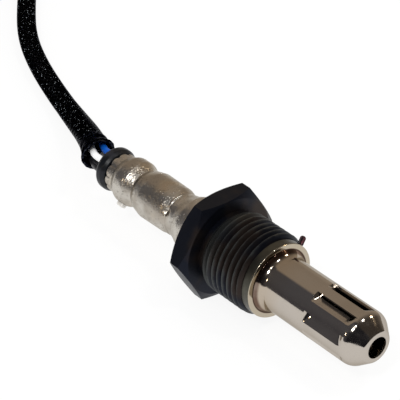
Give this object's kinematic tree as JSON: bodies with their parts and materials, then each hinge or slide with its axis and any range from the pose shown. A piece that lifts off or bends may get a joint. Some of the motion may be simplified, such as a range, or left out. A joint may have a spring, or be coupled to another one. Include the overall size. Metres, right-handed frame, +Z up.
{
  "type": "particulate matter sensor",
  "caption": "Threaded exhaust soot sensor: louvred double shield, black hexagon bushing, crimped rear shell, wires in a braided lead and a plug.",
  "frame": {"origin": "on the sensor's axis in the plane of the hexagon's front face, which seats on the exhaust boss", "axes": "+X along the sensor's axis towards the louvred tip, +Z up while the part lies on one flat of its hexagon"},
  "size_m": [0.2594, 0.0803, 0.022],
  "materials": {
    "black_oxide_steel": "black oxide, satin, machined",
    "polished_steel": "stainless steel, polished, slight heat tint",
    "inner_steel": "stainless steel, as drawn",
    "satin_nickel": "nickel-plated steel, satin",
    "ceramic": "fired alumina, matt",
    "talc": "pressed talc powder",
    "black_rubber": "moulded rubber, slight sheen",
    "white_wire": "extruded wire insulation",
    "blue_wire": "extruded wire insulation",
    "grey_wire": "extruded wire insulation",
    "black_wire": "extruded wire insulation",
    "braided_sleeve": "braided polyester monofilament, glossy threads",
    "plug_plastic": "moulded polyamide, fine texture",
    "lock_plastic": "moulded polyamide",
    "seal_rubber": "silicone rubber",
    "terminal_metal": "stamped copper alloy"
  },
  "bodies": {
    "root": {"hex_bushing": "black_oxide_steel", "sensor_housing": "polished_steel", "outer_shield": "polished_steel", "inner_shield": "inner_steel", "sensing_strip": "ceramic", "front_insulator": "ceramic", "talc_packing": "talc", "rear_insulator": "ceramic", "packing_ring": "inner_steel", "rear_shell": "satin_nickel", "contact_carrier": "ceramic", "clip_ring": "inner_steel", "contact_1": "inner_steel", "contact_2": "inner_steel", "contact_3": "inner_steel", "contact_4": "inner_steel", "wire_grommet": "black_rubber", "wire_white": "white_wire", "wire_blue": "blue_wire", "wire_grey": "grey_wire", "wire_black": "black_wire", "rear_lug": "satin_nickel", "sleeve_mouth": "braided_sleeve", "cable_sleeve": "braided_sleeve", "cable_coil": "braided_sleeve", "cable_tail": "braided_sleeve", "plug_boot": "black_rubber", "plug_housing": "plug_plastic", "plug_core": "plug_plastic", "plug_lock": "lock_plastic", "plug_seal": "seal_rubber", "plug_terminals": "terminal_metal", "plug_wires": "grey_wire"}
  },
  "joints": []
}
